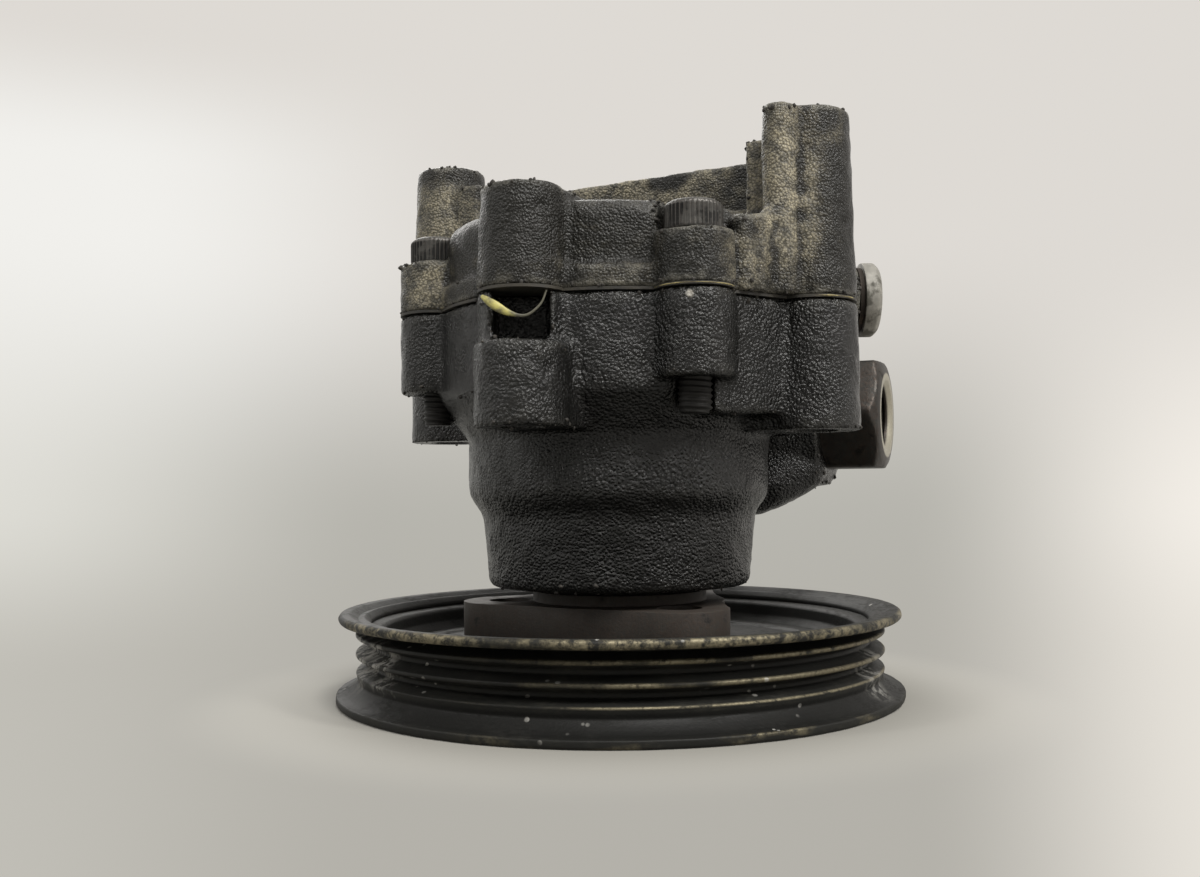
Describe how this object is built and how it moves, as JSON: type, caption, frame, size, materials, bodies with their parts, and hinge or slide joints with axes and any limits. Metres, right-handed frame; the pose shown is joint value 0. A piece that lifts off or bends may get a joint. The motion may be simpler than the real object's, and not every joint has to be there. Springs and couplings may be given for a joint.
{
  "type": "power steering pump",
  "caption": "Vane-type power steering pump with cast housing and cover, mounting posts, hexagon outlet union and a grooved belt pulley on a three-lobed flange.",
  "frame": {"origin": "on the shaft axis, in the plane of the mounting lug faces", "axes": "+Z along the shaft, from the pulley towards the rear cover; -Y is the front seen in the picture"},
  "size_m": [0.1145, 0.1078, 0.1055],
  "materials": {
    "housing_casting": "cast, oily black grime",
    "cover_casting": "cast, grimy",
    "gasket": "matte",
    "black_steel": "black oxide, worn",
    "bearing_steel": "polished",
    "spring_steel": "satin",
    "seal_rubber": "matte",
    "bronze": "satin",
    "ground_steel": "ground",
    "union_steel": "oxidised, bright edges",
    "plug_steel": "dull zinc",
    "copper": "dull",
    "rusty_steel": "rusty",
    "pulley_paint": "worn black paint",
    "cage_brass": "satin"
  },
  "bodies": {
    "pump_housing": {"front_housing": "housing_casting", "rear_cover": "cover_casting", "inlet_block": "cover_casting", "cover_right_post": "cover_casting", "cover_left_post": "cover_casting", "cover_gasket": "gasket", "gasket_strand": "gasket", "cover_bolts": "black_steel", "bearing_outer_ring": "bearing_steel", "bearing_circlip": "spring_steel", "shaft_seal": "seal_rubber", "rear_bush": "bronze", "front_side_plate": "ground_steel", "side_plate_o_ring": "seal_rubber", "cam_ring": "ground_steel", "rear_side_plate": "ground_steel", "dowel_pins": "ground_steel", "outlet_union": "union_steel", "outlet_union_o_ring": "seal_rubber", "flow_valve_spring": "spring_steel", "gallery_plug": "plug_steel", "gallery_plug_washer": "copper"},
    "shaft_set": {"shaft": "ground_steel", "drive_flange": "rusty_steel", "pulley": "pulley_paint", "pulley_bolts": "black_steel", "rotor": "ground_steel", "rotor_circlip": "spring_steel", "bearing_inner_ring": "bearing_steel", "shaft_circlip": "spring_steel"},
    "ball_set": {"bearing_balls": "bearing_steel", "bearing_cage": "cage_brass"},
    "valve_spool": {"flow_valve_spool": "ground_steel"},
    "vane_01_body": {"vane_01": "ground_steel"},
    "vane_02_body": {"vane_02": "ground_steel"},
    "vane_03_body": {"vane_03": "ground_steel"},
    "vane_04_body": {"vane_04": "ground_steel"},
    "vane_05_body": {"vane_05": "ground_steel"},
    "vane_06_body": {"vane_06": "ground_steel"},
    "vane_07_body": {"vane_07": "ground_steel"},
    "vane_08_body": {"vane_08": "ground_steel"},
    "vane_09_body": {"vane_09": "ground_steel"},
    "vane_10_body": {"vane_10": "ground_steel"}
  },
  "joints": [
    {"name": "shaft_spin", "type": "hinge", "parent": "pump_housing", "child": "shaft_set", "pos_m": [0, 0, 0], "axis": [0, 0, 1], "continuous": true},
    {"name": "ball_orbit", "type": "hinge", "parent": "pump_housing", "child": "ball_set", "pos_m": [0, 0, 0], "axis": [0, 0, 1], "continuous": true},
    {"name": "flow_valve_slide", "type": "slide", "parent": "pump_housing", "child": "valve_spool", "axis": [-0.9272, 0.3746, 0], "range_m": [0, 0.006], "stiffness_N_per_m": 2000, "springref_m": -0.003, "deforming": ["flow_valve_spring"]},
    {"name": "vane_01_slide", "type": "slide", "parent": "shaft_set", "child": "vane_01_body", "axis": [0.9511, 0.309, 0], "range_m": [-0.0006, 0.00025]},
    {"name": "vane_02_slide", "type": "slide", "parent": "shaft_set", "child": "vane_02_body", "axis": [0.5878, 0.809, 0], "range_m": [-0.0006, 0.00025]},
    {"name": "vane_03_slide", "type": "slide", "parent": "shaft_set", "child": "vane_03_body", "axis": [0, 1, 0], "range_m": [-0.0006, 0.00025]},
    {"name": "vane_04_slide", "type": "slide", "parent": "shaft_set", "child": "vane_04_body", "axis": [-0.5878, 0.809, 0], "range_m": [-0.0006, 0.00025]},
    {"name": "vane_05_slide", "type": "slide", "parent": "shaft_set", "child": "vane_05_body", "axis": [-0.9511, 0.309, 0], "range_m": [-0.0006, 0.00025]},
    {"name": "vane_06_slide", "type": "slide", "parent": "shaft_set", "child": "vane_06_body", "axis": [-0.9511, -0.309, 0], "range_m": [-0.0006, 0.00025]},
    {"name": "vane_07_slide", "type": "slide", "parent": "shaft_set", "child": "vane_07_body", "axis": [-0.5878, -0.809, 0], "range_m": [-0.0006, 0.00025]},
    {"name": "vane_08_slide", "type": "slide", "parent": "shaft_set", "child": "vane_08_body", "axis": [0, -1, 0], "range_m": [-0.0006, 0.00025]},
    {"name": "vane_09_slide", "type": "slide", "parent": "shaft_set", "child": "vane_09_body", "axis": [0.5878, -0.809, 0], "range_m": [-0.0006, 0.00025]},
    {"name": "vane_10_slide", "type": "slide", "parent": "shaft_set", "child": "vane_10_body", "axis": [0.9511, -0.309, 0], "range_m": [-0.0006, 0.00025]}
  ],
  "couplings": [
    {"joint": "ball_orbit", "follows": "shaft_spin", "ratio": 0.38158}
  ]
}
